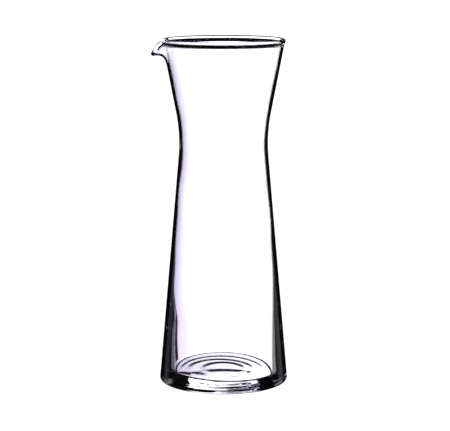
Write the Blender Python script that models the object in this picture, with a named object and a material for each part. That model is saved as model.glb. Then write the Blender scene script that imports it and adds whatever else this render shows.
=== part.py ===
"""Glass carafe with a pulled pour lip, one continuous piece of clear glass.

Metres, +Z up. The origin is on the axis of the body, in the plane that the base stands on, and the
lip points along -X. The vessel is one closed section, spun about the axis. The rim is then drawn out
and down on one side, the way a lip is pulled with a tool while the glass is soft.
"""
import math

import bmesh
import bpy
from mathutils import Matrix, Vector

MM = 0.001

# Outside of the body: two cones joined by an arc at the waist.
HEIGHT = 257.5 * MM
RIM_RADIUS = 45.7 * MM
WAIST_RADIUS = 33.0 * MM
WAIST_HEIGHT = 180.5 * MM
WAIST_ARC_RADIUS = 118.0 * MM
BASE_RADIUS = 48.2 * MM
BASE_CORNER = 2.0 * MM

# Thickness of the glass, measured level, and the round well inside the heavy base.
WALL_AT_RIM = 2.0 * MM
WALL_AT_WAIST = 2.5 * MM
FLOOR = 7.5 * MM
WELL_RADIUS = 38.0 * MM
WELL_CORNER = 2.5 * MM
WELL_BLEND = 3.0 * MM

# The fire-polished bead along the rim.
BEAD = 3.4 * MM
BEAD_FADE = 3.4 * MM
BEAD_PROUD = 0.4 * MM

# The pour lip.
LIP_HALF_ANGLE = math.radians(18.0)
LIP_REACH = 7.8 * MM
LIP_DROP = 9.6 * MM
LIP_REACH_SHARPNESS = 2.0
LIP_DROP_SHARPNESS = 3.5
LIP_REACH_DEPTH = 13.0 * MM
LIP_REACH_ROUND = 8.0 * MM
LIP_DROP_DEPTH = 12.4 * MM
LIP_DROP_ROUND = 4.0 * MM

# Clear glass.
TINT = (0.95, 0.94, 0.97, 1.0)
POLISH = 0.02  # roughness
REFRACTION = 1.52

# Fineness of the mesh.
COLUMNS = 72
CROWDING = 0.5  # columns stand this much closer together at the lip than on average
CORNER_STEPS = 3
CONE_STEPS = 3
WAIST_STEPS = 8
LIP_STEPS = 9
BEAD_STEPS = 6
WELL_STEPS = 7
WELL_SHARE = 0.65  # the curved part of the well's wall is this much of its height up to the waist
SEAM = 0.01 * MM  # points closer than this are one point
SHARP_EDGE = math.radians(40.0)


def smooth_step(x):
    """0 below 0, 1 above 1, and a smooth rise between."""
    x = min(max(x, 0.0), 1.0)
    return x * x * (3.0 - 2.0 * x)


def soft_ramp(x, blend):
    """0 for x below -blend, x above blend, and a parabola between."""
    if x <= -blend:
        return 0.0
    if x >= blend:
        return x
    return (x + blend) ** 2 / (4.0 * blend)


def tangent_point(point, centre, radius, side):
    """Where a line from point touches the circle, with the centre to its left (1) or right (-1)."""
    to_centre = centre - point
    length = math.sqrt(to_centre.length_squared - radius**2)
    turn = Matrix.Rotation(side * math.asin(radius / to_centre.length), 2)
    return point + turn @ to_centre.normalized() * length


# Points of the section are (radius, height).
RIM_POINT = Vector((RIM_RADIUS, HEIGHT))
BASE_POINT = Vector((BASE_RADIUS, BASE_CORNER))
WAIST_CENTRE = Vector((WAIST_RADIUS + WAIST_ARC_RADIUS, WAIST_HEIGHT))
NECK_END = tangent_point(RIM_POINT, WAIST_CENTRE, WAIST_ARC_RADIUS, -1)
BODY_END = tangent_point(BASE_POINT, WAIST_CENTRE, WAIST_ARC_RADIUS, 1)

# The neck's cone leans out by this angle, and the rim's bead is round in the cone's own frame.
LEAN = math.atan2(RIM_POINT.x - NECK_END.x, RIM_POINT.y - NECK_END.y)
BEAD_RADIUS = 0.5 * BEAD * math.cos(LEAN)
BEAD_HEIGHT = HEIGHT - BEAD_RADIUS


def on_line(a, b, height):
    """Radius at a height on the straight line through a and b."""
    return a.x + (b.x - a.x) * (height - a.y) / (b.y - a.y)


def bead_share(height):
    """1 at the bead, fading to 0 a little way down the wall."""
    return smooth_step(1.0 - (BEAD_HEIGHT - height) / BEAD_FADE)


def outer_radius(height):
    if height > NECK_END.y:
        return on_line(NECK_END, RIM_POINT, height) + BEAD_PROUD * bead_share(height)
    if height < BODY_END.y:
        return on_line(BASE_POINT, BODY_END, height)
    return WAIST_CENTRE.x - math.sqrt(WAIST_ARC_RADIUS**2 - (height - WAIST_HEIGHT) ** 2)


def wall(height):
    """Thickness of the thin wall above the base: thinnest in the flared neck, with the bead on top."""
    thinning = smooth_step((height - WAIST_HEIGHT) / (HEIGHT - WAIST_HEIGHT))
    plain = WALL_AT_WAIST + (WALL_AT_RIM - WALL_AT_WAIST) * thinning
    return plain + (BEAD - plain) * bead_share(height)


def inner_radius(height):
    """The thin wall's inside, narrowed below the waist to the straight well of the heavy base."""
    thin = outer_radius(height) - wall(height)
    if height > WAIST_HEIGHT:
        return thin
    return thin - soft_ramp(thin - WELL_RADIUS, WELL_BLEND)


def between(start, end, steps):
    """The values from start to end, start left out and end included."""
    return [start + (end - start) * (i + 1) / steps for i in range(steps)]


def arc(centre, radius, start, end, steps):
    """Points of a circular arc in the section, both ends included, angles in radians."""
    return [
        centre + radius * Vector((math.cos(a), math.sin(a)))
        for a in [start] + between(start, end, steps)
    ]


def wall_heights(bottom, top):
    """Heights up a wall: sparse on the straight cones, close at the waist and where the lip folds."""
    fold = HEIGHT - LIP_REACH_DEPTH - LIP_REACH_ROUND
    return (
        [bottom]
        + between(bottom, BODY_END.y, CONE_STEPS)
        + between(BODY_END.y, NECK_END.y, WAIST_STEPS)
        + between(NECK_END.y, fold, CONE_STEPS)
        + between(fold, top, LIP_STEPS)
    )


def section():
    """The closed outline of the glass on one side of the axis, from the base's centre round to the floor's."""
    bead_centre = Vector((outer_radius(BEAD_HEIGHT) - 0.5 * BEAD, BEAD_HEIGHT))
    bead_rise = BEAD_RADIUS * math.sin(LEAN)
    corner_centre = Vector((BASE_RADIUS - BASE_CORNER, BASE_CORNER))
    well_top = FLOOR + WELL_CORNER
    well_centre = Vector((inner_radius(well_top) - WELL_CORNER, well_top))
    blend_top = well_top + (WAIST_HEIGHT - well_top) * WELL_SHARE

    base = [Vector((0.0, 0.0))] + arc(corner_centre, BASE_CORNER, -0.5 * math.pi, 0.0, CORNER_STEPS)
    outside_heights = wall_heights(BASE_CORNER, BEAD_HEIGHT - bead_rise)
    outside = [Vector((outer_radius(h), h)) for h in outside_heights[1:-1]]
    bead = arc(bead_centre, BEAD_RADIUS, -LEAN, math.pi - LEAN, BEAD_STEPS)
    inside_heights = [well_top] + between(well_top, blend_top, WELL_STEPS)
    inside_heights += [h for h in wall_heights(BASE_CORNER, BEAD_HEIGHT) if h > blend_top + BEAD][:-1]
    inside = [Vector((inner_radius(h), h)) for h in reversed(inside_heights[1:])]
    well = arc(well_centre, WELL_CORNER, 0.0, -0.5 * math.pi, CORNER_STEPS + 1)
    return base + outside + bead + inside + well + [Vector((0.0, FLOOR))]


def spin_section(points):
    """A closed bmesh body: the section turned a full circle about Z."""
    mesh = bmesh.new()
    verts = [mesh.verts.new((p.x, 0.0, p.y)) for p in points]
    edges = [mesh.edges.new(pair) for pair in zip(verts, verts[1:])]
    bmesh.ops.spin(
        mesh,
        geom=verts + edges,
        axis=(0.0, 0.0, 1.0),
        cent=(0.0, 0.0, 0.0),
        angle=2.0 * math.pi,
        steps=COLUMNS,
        use_merge=True,
    )
    bmesh.ops.remove_doubles(mesh, verts=mesh.verts, dist=SEAM)
    bmesh.ops.recalc_face_normals(mesh, faces=mesh.faces)
    return mesh


def middle_surface(angle, height):
    """A point midway through the wall after the lip is pulled, at this angle from the lip's direction."""
    depth = HEIGHT - height
    rim_depth = HEIGHT - BEAD_HEIGHT
    swing = math.cos(0.5 * math.pi * min(abs(angle) / LIP_HALF_ANGLE, 1.0))
    reach = soft_ramp(LIP_REACH_DEPTH - depth, LIP_REACH_ROUND)
    reach /= soft_ramp(LIP_REACH_DEPTH - rim_depth, LIP_REACH_ROUND)
    drop = soft_ramp(LIP_DROP_DEPTH - depth, LIP_DROP_ROUND)
    drop /= soft_ramp(LIP_DROP_DEPTH - rim_depth, LIP_DROP_ROUND)
    radius = outer_radius(height) - 0.5 * wall(height)
    radius += LIP_REACH * swing**LIP_REACH_SHARPNESS * reach
    height -= LIP_DROP * swing**LIP_DROP_SHARPNESS * drop
    return Vector((-radius * math.cos(angle), -radius * math.sin(angle), height))


def pull_lip(mesh):
    """Carry each point of the rim with the wall's middle surface, which keeps the wall's thickness."""
    fold = HEIGHT - LIP_REACH_DEPTH - LIP_REACH_ROUND
    step = 0.05 * MM
    for vert in mesh.verts:
        angle = math.atan2(-vert.co.y, -vert.co.x)
        height = min(vert.co.z, BEAD_HEIGHT)
        if vert.co.z <= fold or abs(angle) >= LIP_HALF_ANGLE:
            continue
        round_axis = Matrix.Rotation(angle, 3, "Z")
        radius = outer_radius(height) - 0.5 * wall(height)
        before = round_axis @ Vector((-radius, 0.0, height))
        along = round_axis @ Vector((-math.sin(LEAN), 0.0, math.cos(LEAN)))
        outward = round_axis @ Vector((-math.cos(LEAN), 0.0, -math.sin(LEAN)))
        offset = vert.co - before

        middle = middle_surface(angle, height)
        up = (middle_surface(angle, height + step) - middle_surface(angle, height - step)).normalized()
        turn = step / RIM_RADIUS
        sideways = middle_surface(angle + turn, height) - middle_surface(angle - turn, height)
        normal = sideways.cross(up).normalized()
        if normal.dot(outward) < 0.0:
            normal.negate()
        vert.co = middle + normal * offset.dot(outward) + up * offset.dot(along)


def crowd_columns(mesh):
    """Slide the columns round the axis, closer together towards the lip at -X."""
    for vert in mesh.verts:
        angle = math.atan2(-vert.co.y, -vert.co.x)
        vert.co.rotate(Matrix.Rotation(-CROWDING * math.sin(angle), 3, "Z"))


def clear_glass():
    material = bpy.data.materials.new("clear_glass")
    material.use_nodes = True
    shader = material.node_tree.nodes["Principled BSDF"]
    shader.inputs["Base Color"].default_value = TINT
    shader.inputs["Roughness"].default_value = POLISH
    shader.inputs["Metallic"].default_value = 0.0
    shader.inputs["IOR"].default_value = REFRACTION
    shader.inputs["Transmission Weight"].default_value = 1.0
    return material


def carafe():
    body = spin_section(section())
    crowd_columns(body)
    pull_lip(body)
    data = bpy.data.meshes.new("carafe")
    body.to_mesh(data)
    body.free()
    data.shade_smooth()
    data.set_sharp_from_angle(angle=SHARP_EDGE)
    data.materials.append(clear_glass())
    vessel = bpy.data.objects.new("carafe", data)
    bpy.context.scene.collection.objects.link(vessel)
    return vessel


for existing in list(bpy.data.objects):
    bpy.data.objects.remove(existing, do_unlink=True)
carafe()
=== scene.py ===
"""The glass carafe as the eye sees it: one smooth, slightly uneven piece of clear glass in a white studio.

Metres, +Z up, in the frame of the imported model, with the pour lip along -X. The glass is the CAD's section
at a much finer step, with shallow marks added under its base, and waves and a tilt added to its inside.
"""
import math
from types import SimpleNamespace

import bpy
import numpy as np
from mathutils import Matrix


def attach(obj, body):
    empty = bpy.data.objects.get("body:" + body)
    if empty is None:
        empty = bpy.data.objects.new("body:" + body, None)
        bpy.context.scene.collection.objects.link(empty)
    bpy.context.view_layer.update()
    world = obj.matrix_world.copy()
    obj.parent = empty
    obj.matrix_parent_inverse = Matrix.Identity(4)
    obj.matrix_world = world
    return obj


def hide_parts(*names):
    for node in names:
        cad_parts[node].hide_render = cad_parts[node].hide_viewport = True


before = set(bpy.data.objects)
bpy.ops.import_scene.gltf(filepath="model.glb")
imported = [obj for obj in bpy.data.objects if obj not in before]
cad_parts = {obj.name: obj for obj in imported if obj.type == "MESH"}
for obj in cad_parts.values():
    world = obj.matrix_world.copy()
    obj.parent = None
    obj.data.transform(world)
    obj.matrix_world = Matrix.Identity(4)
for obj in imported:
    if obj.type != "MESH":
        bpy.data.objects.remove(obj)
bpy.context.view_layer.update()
MM = 0.001

# Outside of the body: two cones joined by an arc at the waist.
HEIGHT = 257.5 * MM
RIM_RADIUS = 45.7 * MM
WAIST_RADIUS = 33.0 * MM
WAIST_HEIGHT = 180.5 * MM
WAIST_ARC_RADIUS = 118.0 * MM
BASE_RADIUS = 48.2 * MM
BASE_CORNER = 2.0 * MM

# Thickness of the glass, measured level, and the round well inside the heavy base.
WALL_AT_RIM = 2.0 * MM
WALL_AT_WAIST = 2.5 * MM
FLOOR = 7.5 * MM
WELL_RADIUS = 38.0 * MM
WELL_CORNER = 2.5 * MM
WELL_BLEND = 3.0 * MM

# The fire-polished bead along the rim.
BEAD = 3.4 * MM
BEAD_FADE = 3.4 * MM
BEAD_PROUD = 0.4 * MM

# The pour lip.
LIP_HALF_ANGLE = math.radians(18.0)
LIP_REACH = 7.8 * MM
LIP_DROP = 9.6 * MM
LIP_REACH_SHARPNESS = 2.0
LIP_DROP_SHARPNESS = 3.5
LIP_REACH_DEPTH = 13.0 * MM
LIP_REACH_ROUND = 8.0 * MM
LIP_DROP_DEPTH = 12.4 * MM
LIP_DROP_ROUND = 4.0 * MM

# The unevenness of the glass. Each mark under the base is a shallow raised patch: the place of its centre,
# its stretch along X, its radius across, the width of its sloping edge and its rise, in millimetres. Each
# wave runs round and up the inside of the wall: its count around, its length, its phase and its depth.
MARKS = (
    (-1.0, 0.0, 1.0, 35.0, 4.0, 0.26),
    (-2.0, 0.0, 1.05, 27.0, 5.5, 0.36),
    (0.0, 0.0, 1.0, 19.5, 6.5, 0.40),
    (3.0, -13.0, 2.2, 14.0, 9.0, 0.42),
    (8.0, -26.0, 1.9, 11.0, 8.0, 0.34),
    (-30.0, -30.0, 1.3, 24.0, 13.0, 0.65),
)
MARKS_RADIUS = 39.0 * MM
MARKS_FADE = 5.0 * MM
WAVES = ((2, 62.0, 0.4, 0.10), (3, 37.0, 2.1, 0.05))
WAVES_BOTTOM = 20.0 * MM
WAVES_RISE = 30.0 * MM
WAVES_FADE = 25.0 * MM
FLOOR_TILT = 0.03  # rise per unit of length towards the lip
TILT_TOP = 40.0 * MM
TILT_FADE = 28.0 * MM

# The glass itself, the depth of the fine ripple of its surface, and the ring under the base that is worn.
TINT = (0.975, 0.965, 0.99, 1.0)
REFRACTION = 1.52
RIPPLE = 0.02 * MM
WORN_RADIUS = (38.5 * MM, 41.0 * MM)
WORN_HEIGHT = (0.6 * MM, 0.2 * MM)
WORN_ROUGHNESS = 0.05
SCUFF_ROUGHNESS = 0.22
SMEAR_ROUGHNESS = 0.012

# Fineness of the mesh: columns around, and points along each stretch of the section.
COLUMNS = 240
CROWDING = 0.5  # columns stand this much closer together at the lip than on average
MARKED_POINTS = 66
UNMARKED_POINTS = 6
CORNER_STEPS = 10
OUTSIDE_POINTS = 18
INSIDE_POINTS = 62
WAIST_POINTS = 24
NECK_POINTS = 14
LIP_POINTS = 26
BEAD_STEPS = 18
WELL_STEPS = 14
FLOOR_POINTS = 20
TOUCH = 0.01 * MM

# The camera: level sight lines would meet the rim edge-on, so it looks a little down.
CAMERA_PLACE = (0.00107, -1.25, 0.333)
CAMERA_PITCH = math.radians(9.43)
CAMERA_LENS = 135.4

# The studio's brightness: the pale surround that the camera sees, and the white panel that the glass shows.
# The other three are shares of the panel's.
FLOOR_LIGHT = 1.25
PANEL_LIGHT = 2.5
BLACK = 0.0015
HAZE = 0.12
DEEP = 0.16

# The panel's colour at some bearings, and the breadth of the stretch of bearings that it is given over.
# Bearings are in degrees from +Y towards +X, and heights in degrees above the horizon.
PANEL_COLOURS = (
    (-20.0, (0.55, 0.49, 0.65)),
    (-12.0, (0.52, 0.49, 0.61)),
    (-7.5, (0.56, 0.57, 0.64)),
    (8.0, (0.96, 0.94, 1.0)),
)
PANEL_SPREAD = 50.0

# Edges of what is seen by passing straight through. Each one fades from its first value to its second.
PANEL_TOP = (5.5, 4.0)
PANEL_TOP_ONE_WALL = (3.2, 1.7)
FLAG_LEFT = (-38.0, -36.0)
FLAG_RIGHT = -24.0
FLAG_SLACK = (1.5, -1.5)
FLAG_STEP = -9.0  # the flag's right edge moves by this much above the height FLAG_STEP_UP
FLAG_STEP_UP = (-15.0, -12.0)
FLAG_BOTTOM = (-22.5, -21.5)
FOOT_TOP = (-24.0, -26.0)
SIDE_NEAR = (22.0, 27.0)
SIDE_FAR = (66.0, 62.0)
SIDE_BOTTOM = (-17.0, -14.0)

# Edges of what is seen by reflection. Each window of the panel that the base mirrors has a bearing, and the
# lowest and the highest angle from the horizon.
BASE_WINDOWS = ((0.0, 1.0, 24.0), (-45.0, 24.0, 45.0), (-90.0, 1.0, 9.0), (135.0, 11.0, 27.0))
WINDOW_SIDE = (23.0, 21.5)
WINDOW_FADE = 1.0
ONCE_BOTTOM = (5.0, 7.0)
THRICE_BOTTOM = (3.0, 5.0)
STREAK_RIGHT = (-2.0, -5.0)
STREAK_BOTTOM = (15.0, 17.0)
HAZE_NEAR = (40.0, 47.0)
HAZE_FAR = (64.0, 58.0)
HAZE_TOP = (0.0, -2.0)
HAZE_BOTTOM = (-26.0, -22.0)
DEEP_PASSAGES = (4.0, 5.0)
DEEP_BOTTOM = (3.0, 6.0)


def smooth_step(x):
    """0 below 0, 1 above 1, and a smooth rise between."""
    x = np.clip(x, 0.0, 1.0)
    return x * x * (3.0 - 2.0 * x)


def soft_ramp(x, blend):
    """0 for x below -blend, x above blend, and a parabola between."""
    return np.where(x <= -blend, 0.0, np.where(x >= blend, x, (x + blend) ** 2 / (4.0 * blend)))


def tangent_point(point, centre, radius, side):
    """Where a line from point touches the circle, with the centre to its left (1) or right (-1)."""
    to_centre = centre - point
    far = math.hypot(*to_centre)
    turn = side * math.asin(radius / far)
    cos, sin = math.cos(turn), math.sin(turn)
    along = np.array([cos * to_centre[0] - sin * to_centre[1], sin * to_centre[0] + cos * to_centre[1]])
    return point + along / far * math.sqrt(far**2 - radius**2)


# Points of the section are (radius, height).
RIM_POINT = np.array([RIM_RADIUS, HEIGHT])
BASE_POINT = np.array([BASE_RADIUS, BASE_CORNER])
WAIST_CENTRE = np.array([WAIST_RADIUS + WAIST_ARC_RADIUS, WAIST_HEIGHT])
NECK_END = tangent_point(RIM_POINT, WAIST_CENTRE, WAIST_ARC_RADIUS, -1)
BODY_END = tangent_point(BASE_POINT, WAIST_CENTRE, WAIST_ARC_RADIUS, 1)

# The neck's cone leans out by this angle, and the rim's bead is round in the cone's own frame.
LEAN = math.atan2(RIM_POINT[0] - NECK_END[0], RIM_POINT[1] - NECK_END[1])
BEAD_RADIUS = 0.5 * BEAD * math.cos(LEAN)
BEAD_HEIGHT = HEIGHT - BEAD_RADIUS
LIP_FOLD = HEIGHT - LIP_REACH_DEPTH - LIP_REACH_ROUND


def on_line(a, b, height):
    """Radius at a height on the straight line through a and b."""
    return a[0] + (b[0] - a[0]) * (height - a[1]) / (b[1] - a[1])


def bead_share(height):
    """1 at the bead, fading to 0 a little way down the wall."""
    return smooth_step(1.0 - (BEAD_HEIGHT - height) / BEAD_FADE)


def outer_radius(height):
    neck = on_line(NECK_END, RIM_POINT, height) + BEAD_PROUD * bead_share(height)
    body = on_line(BASE_POINT, BODY_END, height)
    above = np.clip(height, BODY_END[1], NECK_END[1]) - WAIST_HEIGHT
    waist = WAIST_CENTRE[0] - np.sqrt(WAIST_ARC_RADIUS**2 - above**2)
    return np.where(height > NECK_END[1], neck, np.where(height < BODY_END[1], body, waist))


def wall(height):
    """Thickness of the thin wall above the base: thinnest in the flared neck, with the bead on top."""
    thinning = smooth_step((height - WAIST_HEIGHT) / (HEIGHT - WAIST_HEIGHT))
    plain = WALL_AT_WAIST + (WALL_AT_RIM - WALL_AT_WAIST) * thinning
    return plain + (BEAD - plain) * bead_share(height)


def inner_radius(height):
    """The thin wall's inside, narrowed below the waist to the straight well of the heavy base."""
    thin = outer_radius(height) - wall(height)
    return np.where(height > WAIST_HEIGHT, thin, thin - soft_ramp(thin - WELL_RADIUS, WELL_BLEND))


def arc(centre, radius, start, end, steps):
    """Points of a circular arc in the section, both ends included, angles in radians."""
    turn = np.linspace(start, end, steps + 1)
    return np.array(centre) + radius * np.stack([np.cos(turn), np.sin(turn)], axis=1)


def wall_heights(bottom, top, cone_points):
    """Heights up a wall: even on the cones, closer at the waist and closest where the lip folds."""
    stretches = [
        np.linspace(bottom, BODY_END[1], cone_points),
        np.linspace(BODY_END[1], NECK_END[1], WAIST_POINTS)[1:],
        np.linspace(NECK_END[1], LIP_FOLD, NECK_POINTS)[1:],
        np.linspace(LIP_FOLD, top, LIP_POINTS)[1:],
    ]
    return np.concatenate(stretches)


def section():
    """The closed outline of the glass beside the axis, from the base's centre round to the floor's."""
    bead_centre = (float(outer_radius(BEAD_HEIGHT)) - 0.5 * BEAD, BEAD_HEIGHT)
    bead_rise = BEAD_RADIUS * math.sin(LEAN)
    corner_centre = (BASE_RADIUS - BASE_CORNER, BASE_CORNER)
    well_top = FLOOR + WELL_CORNER
    well_centre = (float(inner_radius(well_top)) - WELL_CORNER, well_top)

    marked = np.linspace(0.0, MARKS_RADIUS, MARKED_POINTS)
    unmarked = np.linspace(MARKS_RADIUS, corner_centre[0], UNMARKED_POINTS)[1:-1]
    under = np.concatenate([marked, unmarked])
    under = np.stack([under, np.zeros(len(under))], axis=1)
    corner = arc(corner_centre, BASE_CORNER, -0.5 * math.pi, 0.0, CORNER_STEPS)
    up = wall_heights(BASE_CORNER, BEAD_HEIGHT - bead_rise, OUTSIDE_POINTS)[1:-1]
    outside = np.stack([outer_radius(up), up], axis=1)
    bead = arc(bead_centre, BEAD_RADIUS, -LEAN, math.pi - LEAN, BEAD_STEPS)
    down = wall_heights(well_top, BEAD_HEIGHT + bead_rise, INSIDE_POINTS)[-2:0:-1]
    inside = np.stack([inner_radius(down), down], axis=1)
    well = arc(well_centre, WELL_CORNER, 0.0, -0.5 * math.pi, WELL_STEPS)
    floor = np.linspace(well_centre[0] - 0.4 * MM, 0.0, FLOOR_POINTS)
    floor = np.stack([floor, np.full(FLOOR_POINTS, FLOOR)], axis=1)
    return np.concatenate([under, corner, outside, bead, inside, well, floor])


def patch(x, y, centre_x, centre_y, stretch, radius, edge, height):
    """A raised patch with a sloping edge."""
    far = np.hypot((x - centre_x * MM) / stretch, y - centre_y * MM)
    return height * MM * smooth_step((radius * MM - far) / (edge * MM))


def roughen(points, angle):
    """Add the marks to the underside, and the waves and the tilt to the inside below the neck."""
    x, y, z = points.T
    radius = np.hypot(x, y)
    is_under = (z < TOUCH) & (radius < MARKS_RADIUS)
    widest = np.where(z > FLOOR + TOUCH, outer_radius(z) - 0.5 * WALL_AT_RIM, HEIGHT)
    is_inside = (z > 0.5 * FLOOR) & (radius < widest)
    depth = 0.0 * z
    for count, length, phase, height in WAVES:
        depth += height * MM * np.sin(count * angle + 2.0 * math.pi * z / (length * MM) + phase)
    waved = smooth_step((z - WAVES_BOTTOM) / WAVES_RISE) * smooth_step((LIP_FOLD - z) / WAVES_FADE)
    depth *= waved * is_inside
    tilt = -FLOOR_TILT * x * smooth_step((TILT_TOP - z) / TILT_FADE) * is_inside
    marks = sum(patch(x, y, *mark) for mark in MARKS) * smooth_step((MARKS_RADIUS - radius) / MARKS_FADE)
    outward = np.stack([x, y, 0.0 * z], axis=1) / np.maximum(radius, MM)[:, None]
    points = points + outward * depth[:, None]
    points[:, 2] += tilt + marks * is_under
    return points


def around(angle, radius, height):
    """Points at an angle from the lip's direction, -X."""
    return np.stack([-radius * np.cos(angle), -radius * np.sin(angle), height], axis=-1)


def unit(vectors):
    return vectors / np.linalg.norm(vectors, axis=-1, keepdims=True)


def middle_surface(angle, height):
    """The points midway through the wall with the lip pulled, at these angles from the lip's direction."""
    depth = HEIGHT - height
    rim_depth = HEIGHT - BEAD_HEIGHT
    swing = np.cos(0.5 * math.pi * np.minimum(np.abs(angle) / LIP_HALF_ANGLE, 1.0)).clip(0.0)
    reach = soft_ramp(LIP_REACH_DEPTH - depth, LIP_REACH_ROUND)
    reach = reach / soft_ramp(LIP_REACH_DEPTH - rim_depth, LIP_REACH_ROUND)
    drop = soft_ramp(LIP_DROP_DEPTH - depth, LIP_DROP_ROUND)
    drop = drop / soft_ramp(LIP_DROP_DEPTH - rim_depth, LIP_DROP_ROUND)
    radius = outer_radius(height) - 0.5 * wall(height)
    radius = radius + LIP_REACH * swing**LIP_REACH_SHARPNESS * reach
    return around(angle, radius, height - LIP_DROP * swing**LIP_DROP_SHARPNESS * drop)


def pull_lip(angle, radius, height):
    """Carry each point of the rim with the wall's middle surface, which keeps the wall's thickness."""
    step = 0.05 * MM
    turn = step / RIM_RADIUS
    bottom = np.minimum(height, BEAD_HEIGHT)
    from_middle = radius - (outer_radius(bottom) - 0.5 * wall(bottom))
    above = height - bottom
    outward = from_middle * math.cos(LEAN) - above * math.sin(LEAN)
    along = from_middle * math.sin(LEAN) + above * math.cos(LEAN)
    middle = middle_surface(angle, bottom)
    up = unit(middle_surface(angle, bottom + step) - middle_surface(angle, bottom - step))
    sideways = middle_surface(angle + turn, bottom) - middle_surface(angle - turn, bottom)
    normal = unit(np.cross(sideways, up))
    normal *= np.sign(np.sum(normal * around(angle, 1.0, 0.0 * angle), axis=-1, keepdims=True))
    pulled = middle + normal * outward[:, None] + up * along[:, None]
    still = (height <= LIP_FOLD) | (np.abs(angle) >= LIP_HALF_ANGLE)
    return np.where(still[:, None], around(angle, radius, height), pulled)


def columns():
    """Angles of the mesh's columns from the lip's direction, closer together towards the lip."""
    even = np.linspace(-math.pi, math.pi, COLUMNS, endpoint=False)
    return even - CROWDING * np.sin(even)


def glass_mesh():
    """The section turned round the axis and the lip pulled, as a closed mesh."""
    outline = section()
    radius, height = outline[1:-1].T
    angles = columns()
    rings = len(radius)
    angle = np.repeat(angles, rings)
    points = pull_lip(angle, np.tile(radius, COLUMNS), np.tile(height, COLUMNS))
    points = roughen(points, angle)
    middles = np.array([[0.0, 0.0, outline[0][1]], [0.0, 0.0, outline[-1][1]]])
    points = np.concatenate([points, roughen(middles, np.zeros(2))])
    faces = []
    for column in range(COLUMNS):
        here = column * rings
        there = (column + 1) % COLUMNS * rings
        faces.append((COLUMNS * rings, there, here))
        faces.extend((here + i, there + i, there + i + 1, here + i + 1) for i in range(rings - 1))
        faces.append((here + rings - 1, there + rings - 1, COLUMNS * rings + 1))
    mesh = bpy.data.meshes.new("clear_glass_carafe")
    mesh.from_pydata(points.tolist(), [], faces)
    mesh.shade_smooth()
    return mesh


class Tree:
    """Short ways to add nodes to a node tree."""

    def __init__(self, tree):
        self.tree = tree

    def add(self, kind, inputs=(), **settings):
        node = self.tree.nodes.new(kind)
        for name, value in settings.items():
            setattr(node, name, value)
        for name, value in dict(inputs).items():
            if isinstance(value, bpy.types.NodeSocket):
                self.tree.links.new(value, node.inputs[name])
            else:
                node.inputs[name].default_value = value
        return node

    def maths(self, operation, *values):
        return self.add("ShaderNodeMath", enumerate(values), operation=operation).outputs[0]

    def fade(self, value, start, end):
        """0 at start, 1 at end, and a smooth change between. It falls where start is above end."""
        inputs = {"Value": value, "From Min": start, "From Max": end}
        return self.add("ShaderNodeMapRange", inputs, interpolation_type="SMOOTHSTEP").outputs[0]

    def most(self, *values):
        """The largest of several values."""
        largest = values[0]
        for value in values[1:]:
            largest = self.maths("MAXIMUM", largest, value)
        return largest

    def product(self, *values):
        made = values[0]
        for value in values[1:]:
            made = self.maths("MULTIPLY", made, value)
        return made

    def without(self, *values):
        """1 where all the values are 0, and 0 where any of them is 1."""
        return self.product(*(self.maths("SUBTRACT", 1.0, value) for value in values))

    def equals(self, value, count):
        """1 where a value that is a whole number is this one, and 0 elsewhere."""
        return self.maths("COMPARE", value, count, 0.1)


def sight_line(tree):
    """Where a sight line ends in the world, and how often the glass has reflected it or let it pass."""
    direction = tree.add("ShaderNodeTexCoord").outputs["Generated"]
    split = tree.add("ShaderNodeSeparateXYZ", {"Vector": direction}).outputs
    across = tree.maths("DEGREES", tree.maths("ARCTAN2", split["X"], split["Y"]))
    rays = tree.add("ShaderNodeLightPath").outputs
    return SimpleNamespace(
        across=across,
        off=tree.maths("ABSOLUTE", across),
        up=tree.maths("DEGREES", tree.maths("ARCSINE", split["Z"])),
        reflections=rays["Glossy Depth"],
        passages=rays["Transmission Depth"],
        is_plain=tree.maths("MAXIMUM", rays["Is Camera Ray"], rays["Is Diffuse Ray"]),
    )


def passed_light(tree, line):
    """What a line meets that was never reflected: the panel, or a black flag at its left, foot or sides."""
    one_wall = tree.fade(line.passages, 3.0, 2.0)
    two_walls = tree.fade(line.passages, 2.0, 3.0)
    flag_right = tree.maths("MULTIPLY_ADD", tree.fade(line.up, *FLAG_STEP_UP), FLAG_STEP, FLAG_RIGHT)
    flag = tree.product(
        tree.fade(tree.maths("SUBTRACT", line.across, flag_right), *FLAG_SLACK),
        tree.fade(line.across, *FLAG_LEFT),
        tree.fade(line.up, *FLAG_BOTTOM),
    )
    foot = tree.product(one_wall, tree.fade(line.up, *FOOT_TOP))
    side = tree.product(
        one_wall,
        tree.fade(line.off, *SIDE_NEAR),
        tree.fade(line.off, *SIDE_FAR),
        tree.fade(line.up, *SIDE_BOTTOM),
    )
    below_top = tree.most(
        tree.product(two_walls, tree.fade(line.up, *PANEL_TOP)),
        tree.fade(line.up, *PANEL_TOP_ONE_WALL),
    )
    return tree.most(tree.product(below_top, tree.without(flag, foot, side)), BLACK)


def base_windows(tree, line):
    """The windows of the panel that the underside mirrors to a line."""
    steep = tree.maths("ABSOLUTE", line.up)
    windows = []
    for bearing, lowest, highest in BASE_WINDOWS:
        aside = tree.maths("ABSOLUTE", tree.maths("SUBTRACT", line.across, bearing))
        window = tree.product(
            tree.fade(aside, *WINDOW_SIDE),
            tree.fade(steep, lowest - WINDOW_FADE, lowest),
            tree.fade(steep, highest + WINDOW_FADE, highest),
        )
        windows.append(window)
    return tree.most(*windows)


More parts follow.
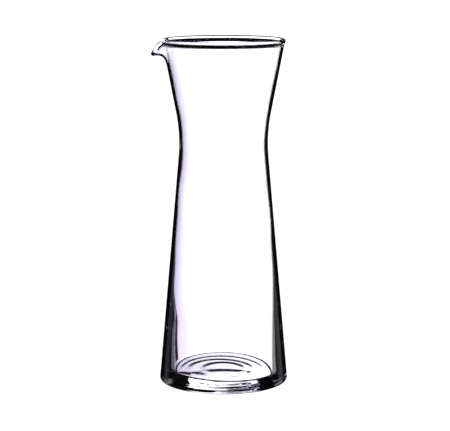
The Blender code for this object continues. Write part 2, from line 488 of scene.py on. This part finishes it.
def reflected_light(tree, line):
    """What a reflected line meets: black, the base's windows, a haze, or the light deep in the glass."""
    once = tree.product(tree.equals(line.reflections, 1.0), tree.fade(line.up, *ONCE_BOTTOM))
    twice = tree.equals(line.reflections, 2.0)
    thrice = tree.product(tree.equals(line.reflections, 3.0), tree.fade(line.up, *THRICE_BOTTOM))
    streak = tree.product(tree.fade(line.across, *STREAK_RIGHT), tree.fade(line.up, *STREAK_BOTTOM))
    mirrored = tree.product(
        tree.most(once, twice, thrice), tree.equals(line.passages, 2.0), tree.without(streak)
    )
    haze = tree.product(
        tree.fade(line.off, *HAZE_NEAR),
        tree.fade(line.off, *HAZE_FAR),
        tree.fade(line.up, *HAZE_TOP),
        tree.fade(line.up, *HAZE_BOTTOM),
        HAZE,
    )
    deep = tree.product(tree.fade(line.passages, *DEEP_PASSAGES), tree.fade(line.up, *DEEP_BOTTOM), DEEP)
    return tree.most(tree.product(base_windows(tree, line), mirrored), haze, deep, BLACK)


def panel_colour(tree, across):
    """The panel's colour by bearing, lilac at its left end."""
    place = tree.maths("MULTIPLY_ADD", across, 1.0 / PANEL_SPREAD, 0.5)
    node = tree.add("ShaderNodeValToRGB", {"Fac": place})
    stops = node.color_ramp.elements
    stops.remove(stops[1])
    for bearing, colour in PANEL_COLOURS:
        stops.new(0.5 + bearing / PANEL_SPREAD).color = (*colour, 1.0)
    stops.remove(stops[0])
    return node.outputs[0]


def studio():
    """A white surround for the camera, and what the glass shows: a white panel and black flags.

    This is not plain light. The world tells sight lines apart by how often the glass has reflected them or
    let them pass, which no real studio does, and its edges were fitted to one camera. A line that only
    passes through meets the panel. A reflected one meets black, which draws the edge of the wall black from
    every side, and only the windows of the panel are left for it at the base, where the underside mirrors.
    """
    world = bpy.data.worlds.new("studio")
    world.use_nodes = True
    world.cycles.sampling_method = "NONE"
    bpy.context.scene.world = world
    world.node_tree.nodes.clear()
    tree = Tree(world.node_tree)
    line = sight_line(tree)
    is_reflected = tree.maths("GREATER_THAN", line.reflections, 0.5)
    shares = {"Factor": is_reflected, "A": passed_light(tree, line), "B": reflected_light(tree, line)}
    strength = tree.product(tree.add("ShaderNodeMix", shares).outputs[0], PANEL_LIGHT)
    pattern = {"Color": panel_colour(tree, line.across), "Strength": strength}
    white = {"Color": (1.0, 1.0, 1.0, 1.0), "Strength": FLOOR_LIGHT}
    pattern = tree.add("ShaderNodeBackground", pattern).outputs[0]
    white = tree.add("ShaderNodeBackground", white).outputs[0]
    mix = tree.add("ShaderNodeMixShader", {0: line.is_plain, 1: pattern, 2: white}).outputs[0]
    tree.add("ShaderNodeOutputWorld", {"Surface": mix})


def pale_floor():
    """A matt floor just under the base. The glass shows the studio in its place."""
    size = 4.0
    drop = -0.3 * MM
    corners = [(-size, -size, drop), (size, -size, drop), (size, size, drop), (-size, size, drop)]
    mesh = bpy.data.meshes.new("floor")
    mesh.from_pydata(corners, [], [(0, 1, 2, 3)])
    material = bpy.data.materials.new("pale_floor")
    material.use_nodes = True
    shader = material.node_tree.nodes["Principled BSDF"]
    shader.inputs["Base Color"].default_value = (0.92, 0.92, 0.92, 1.0)
    shader.inputs["Roughness"].default_value = 1.0
    shader.inputs["Specular IOR Level"].default_value = 0.0
    mesh.materials.append(material)
    floor = bpy.data.objects.new("floor", mesh)
    bpy.context.scene.collection.objects.link(floor)
    floor.visible_glossy = False
    floor.visible_transmission = False


def clear_glass():
    """Fire-polished glass: a faint ripple, smears of handling, and a scuffed ring where it stands."""
    material = bpy.data.materials.new("clear_glass_finish")
    material.use_nodes = True
    tree = Tree(material.node_tree)
    coords = tree.add("ShaderNodeTexCoord").outputs["Object"]

    def noise(scale, detail, distortion):
        inputs = {"Vector": coords, "Scale": scale, "Detail": detail, "Distortion": distortion}
        return tree.add("ShaderNodeTexNoise", inputs).outputs[0]

    split = tree.add("ShaderNodeSeparateXYZ", {"Vector": coords}).outputs
    level = tree.add("ShaderNodeCombineXYZ", {"X": split["X"], "Y": split["Y"]}).outputs[0]
    from_axis = tree.add("ShaderNodeVectorMath", {0: level}, operation="LENGTH").outputs["Value"]
    ring = tree.product(tree.fade(from_axis, *WORN_RADIUS), tree.fade(split["Z"], *WORN_HEIGHT))
    scuffs = tree.fade(noise(900.0, 3.0, 0.0), 0.42, 0.68)
    worn = tree.product(ring, tree.maths("MULTIPLY_ADD", scuffs, SCUFF_ROUGHNESS, WORN_ROUGHNESS))
    smears = tree.product(tree.fade(noise(24.0, 4.0, 1.6), 0.52, 0.74), SMEAR_ROUGHNESS)
    ripple = noise(60.0, 1.0, 0.4)
    grain = noise(700.0, 2.0, 0.0)
    height = tree.maths("MULTIPLY_ADD", grain, tree.maths("MULTIPLY", worn, 0.6), ripple)
    bump = tree.add("ShaderNodeBump", {"Height": height, "Strength": 1.0, "Distance": RIPPLE}).outputs[0]

    shader = material.node_tree.nodes["Principled BSDF"]
    shader.inputs["Base Color"].default_value = TINT
    shader.inputs["IOR"].default_value = REFRACTION
    shader.inputs["Transmission Weight"].default_value = 1.0
    tree.tree.links.new(tree.most(smears, worn), shader.inputs["Roughness"])
    tree.tree.links.new(bump, shader.inputs["Normal"])
    return material


def carafe():
    """The one piece. It casts no shadow, so the floor stays plain."""
    vessel = bpy.data.objects.new("clear_glass_carafe", glass_mesh())
    bpy.context.scene.collection.objects.link(vessel)
    vessel.data.materials.append(clear_glass())
    vessel.visible_shadow = False
    vessel.visible_diffuse = False
    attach(vessel, "root")
    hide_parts("carafe")


def camera():
    data = bpy.data.cameras.new("camera")
    data.lens = CAMERA_LENS
    eye = bpy.data.objects.new("camera", data)
    eye.location = CAMERA_PLACE
    eye.rotation_euler = (0.5 * math.pi - CAMERA_PITCH, 0.0, 0.0)
    bpy.context.scene.collection.objects.link(eye)
    bpy.context.scene.camera = eye


def light_paths():
    """Enough bounces for light caught in the base, and no caustics."""
    scene = bpy.context.scene
    scene.view_settings.view_transform = "Standard"
    scene.cycles.max_bounces = 40
    scene.cycles.transmission_bounces = 40
    scene.cycles.glossy_bounces = 24
    scene.cycles.caustics_reflective = False
    scene.cycles.caustics_refractive = False
    scene.cycles.blur_glossy = 0.0
    scene.cycles.use_denoising = True


camera()
studio()
pale_floor()
carafe()
light_paths()
